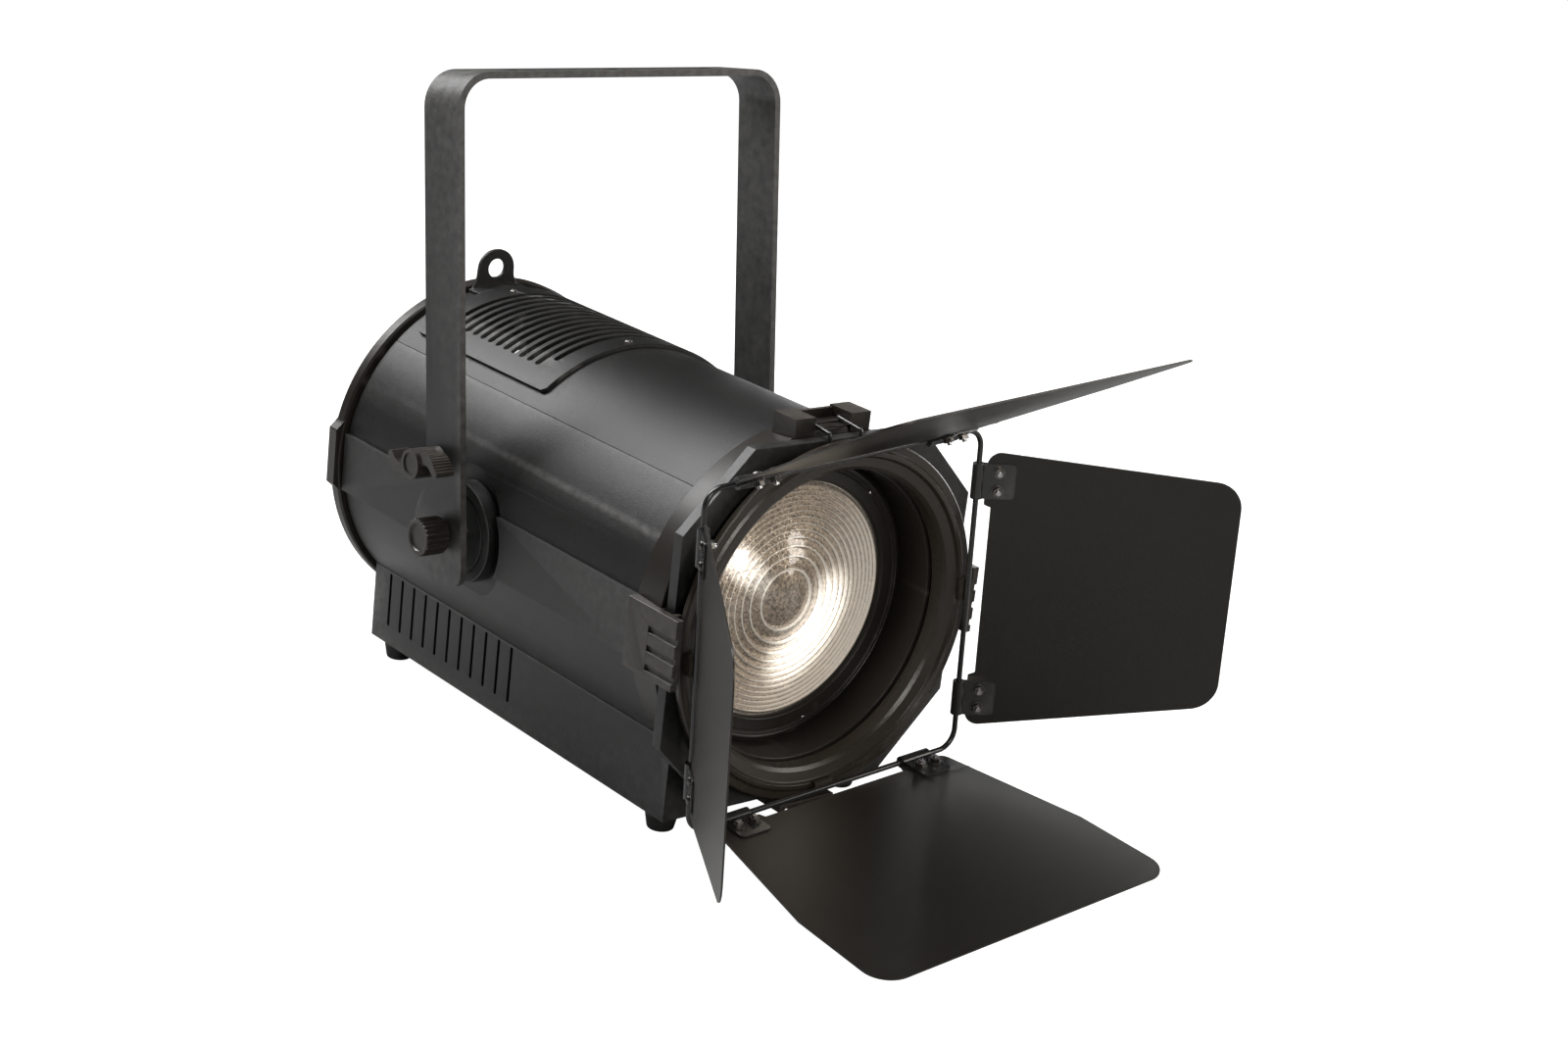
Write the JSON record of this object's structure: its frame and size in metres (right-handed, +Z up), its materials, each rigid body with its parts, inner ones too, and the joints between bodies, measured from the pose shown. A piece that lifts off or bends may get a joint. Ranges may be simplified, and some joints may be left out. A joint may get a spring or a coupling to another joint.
{
  "type": "fresnel spotlight",
  "caption": "Stage spotlight with a stepped lens, finned base, tilting yoke and a turning barndoor with hinged leaves.",
  "frame": {"origin": "floor level under the middle of the bounding box, with the lamp standing on its feet", "axes": "+Z up; the lens faces -Y, so the optical axis runs along Y; +X is to the right of someone facing the lens"},
  "size_m": [0.5134, 0.659, 0.4897],
  "materials": {
    "powder_coat": "fine textured black powder coat",
    "moulded_plastic": "brown-black moulded plastic, lightly textured",
    "door_sheet": "thin sheet with a matte black coat",
    "black_rod": "round rod, semi-gloss black",
    "dark_zinc": "dark plated spring sheet",
    "steel": "bright steel",
    "lens_glass": "stepped and stippled lens glass, warm inside",
    "rubber": "black rubber",
    "screen": "dark glossy window",
    "light_alloy": "plain aluminium",
    "light_engine": "phosphor-covered light source on a ceramic board",
    "motor_case": "black motor case"
  },
  "bodies": {
    "lamp": {"barrel_shell": "powder_coat", "top_cover": "powder_coat", "vent_panel": "powder_coat", "safety_eye": "powder_coat", "base_housing": "powder_coat", "rear_panel": "powder_coat", "pivot_disc_left": "powder_coat", "pivot_disc_right": "powder_coat", "barndoor_plate": "powder_coat", "front_collar": "moulded_plastic", "lens_holder": "moulded_plastic", "accessory_clip_left": "moulded_plastic", "accessory_clip_right": "moulded_plastic", "accessory_clip_bottom": "moulded_plastic", "latch_base": "moulded_plastic", "rear_cap": "moulded_plastic", "power_inlet": "moulded_plastic", "guide_rod_left": "steel", "guide_rod_right": "steel", "data_in": "steel", "fresnel_lens": "lens_glass", "foot_1": "rubber", "foot_2": "rubber", "foot_3": "rubber", "foot_4": "rubber", "display_window": "screen", "rear_frame": "light_alloy", "power_supply": "light_alloy", "zoom_motor": "motor_case"},
    "latch": {"latch_bail": "steel"},
    "zoom_carriage": {"carriage": "light_alloy", "heat_sink": "light_alloy", "led_module": "light_engine", "fan_frame": "moulded_plastic"},
    "fan": {"fan_rotor": "moulded_plastic"},
    "zoom_screw": {"lead_screw": "steel"},
    "button_1": {"menu_button_1": "rubber"},
    "button_2": {"menu_button_2": "rubber"},
    "button_3": {"menu_button_3": "rubber"},
    "button_4": {"menu_button_4": "rubber"},
    "barndoor": {"barndoor_ring": "powder_coat", "wire_frame": "black_rod"},
    "door_right": {"leaf_right": "door_sheet", "hinge_clip_right_a": "dark_zinc", "hinge_clip_right_b": "dark_zinc"},
    "door_left": {"leaf_left": "door_sheet", "hinge_clip_left_a": "dark_zinc", "hinge_clip_left_b": "dark_zinc"},
    "door_top": {"leaf_top": "door_sheet", "hinge_clip_top_a": "dark_zinc", "hinge_clip_top_b": "dark_zinc"},
    "door_bottom": {"leaf_bottom": "door_sheet", "hinge_clip_bottom_a": "dark_zinc", "hinge_clip_bottom_b": "dark_zinc"},
    "yoke_arm": {"yoke": "powder_coat"},
    "tilt_knob_l": {"tilt_knob_left": "moulded_plastic"},
    "tilt_knob_r": {"tilt_knob_right": "moulded_plastic"},
    "clamp_knob_l": {"clamp_knob_left": "moulded_plastic"},
    "clamp_knob_r": {"clamp_knob_right": "moulded_plastic"}
  },
  "joints": [
    {"name": "yoke_tilt", "type": "hinge", "parent": "lamp", "child": "yoke_arm", "pos_m": [-0.02576, 0.14927, 0.1589], "axis": [1, 0, 0], "range_deg": [-100, 50]},
    {"name": "barndoor_turn", "type": "hinge", "parent": "lamp", "child": "barndoor", "pos_m": [-0.02576, -0.10053, 0.162], "axis": [0, 1, 0], "continuous": true},
    {"name": "door_right_hinge", "type": "hinge", "parent": "barndoor", "child": "door_right", "pos_m": [0.09702, -0.11973, 0.1708], "axis": [0.0715, 0, -0.9974], "range_deg": [-36, 59]},
    {"name": "door_top_hinge", "type": "hinge", "parent": "barndoor", "child": "door_top", "pos_m": [-0.03456, -0.11973, 0.28479], "axis": [0.9974, 0, 0.0715], "range_deg": [-61, 34]},
    {"name": "door_left_hinge", "type": "hinge", "parent": "barndoor", "child": "door_left", "pos_m": [-0.14855, -0.11973, 0.1532], "axis": [-0.0715, 0, 0.9974], "range_deg": [-57.5, 37.5]},
    {"name": "door_bottom_hinge", "type": "hinge", "parent": "barndoor", "child": "door_bottom", "pos_m": [-0.01696, -0.11973, 0.03921], "axis": [-0.9974, 0, -0.0715], "range_deg": [-87, 8]},
    {"name": "latch_hinge", "type": "hinge", "parent": "lamp", "child": "latch", "pos_m": [-0.02576, -0.07753, 0.2996], "axis": [-1, 0, 0], "range_deg": [0, 75]},
    {"name": "zoom_slide", "type": "slide", "parent": "lamp", "child": "zoom_carriage", "axis": [0, 1, 0], "range_m": [-0.09, 0.105]},
    {"name": "zoom_screw_turn", "type": "hinge", "parent": "lamp", "child": "zoom_screw", "pos_m": [-0.02576, 0.09947, 0.061], "axis": [0, 1, 0], "range_deg": [-4060, 4735]},
    {"name": "fan_spin", "type": "hinge", "parent": "zoom_carriage", "child": "fan", "pos_m": [-0.02576, 0.14947, 0.162], "axis": [0, 1, 0], "continuous": true},
    {"name": "button_1_press", "type": "slide", "parent": "lamp", "child": "button_1", "axis": [0, -1, 0], "range_m": [0, 0.0015], "stiffness_N_per_m": 500},
    {"name": "button_2_press", "type": "slide", "parent": "lamp", "child": "button_2", "axis": [0, -1, 0], "range_m": [0, 0.0015], "stiffness_N_per_m": 500},
    {"name": "button_3_press", "type": "slide", "parent": "lamp", "child": "button_3", "axis": [0, -1, 0], "range_m": [0, 0.0015], "stiffness_N_per_m": 500},
    {"name": "button_4_press", "type": "slide", "parent": "lamp", "child": "button_4", "axis": [0, -1, 0], "range_m": [0, 0.0015], "stiffness_N_per_m": 500},
    {"name": "tilt_knob_l_turn", "type": "hinge", "parent": "yoke_arm", "child": "tilt_knob_l", "pos_m": [-0.17576, 0.14927, 0.1589], "axis": [-1, 0, 0], "range_deg": [-90, 90]},
    {"name": "clamp_knob_l_turn", "type": "hinge", "parent": "yoke_arm", "child": "clamp_knob_l", "pos_m": [-0.17576, 0.16277, 0.2105], "axis": [-1, 0, 0], "range_deg": [-90, 90]},
    {"name": "tilt_knob_r_turn", "type": "hinge", "parent": "yoke_arm", "child": "tilt_knob_r", "pos_m": [0.12424, 0.14927, 0.1589], "axis": [1, 0, 0], "range_deg": [-90, 90]},
    {"name": "clamp_knob_r_turn", "type": "hinge", "parent": "yoke_arm", "child": "clamp_knob_r", "pos_m": [0.12424, 0.16277, 0.2105], "axis": [1, 0, 0], "range_deg": [-90, 90]}
  ],
  "couplings": [
    {"joint": "zoom_screw_turn", "follows": "zoom_slide", "rad_per_m": 785.4}
  ]
}
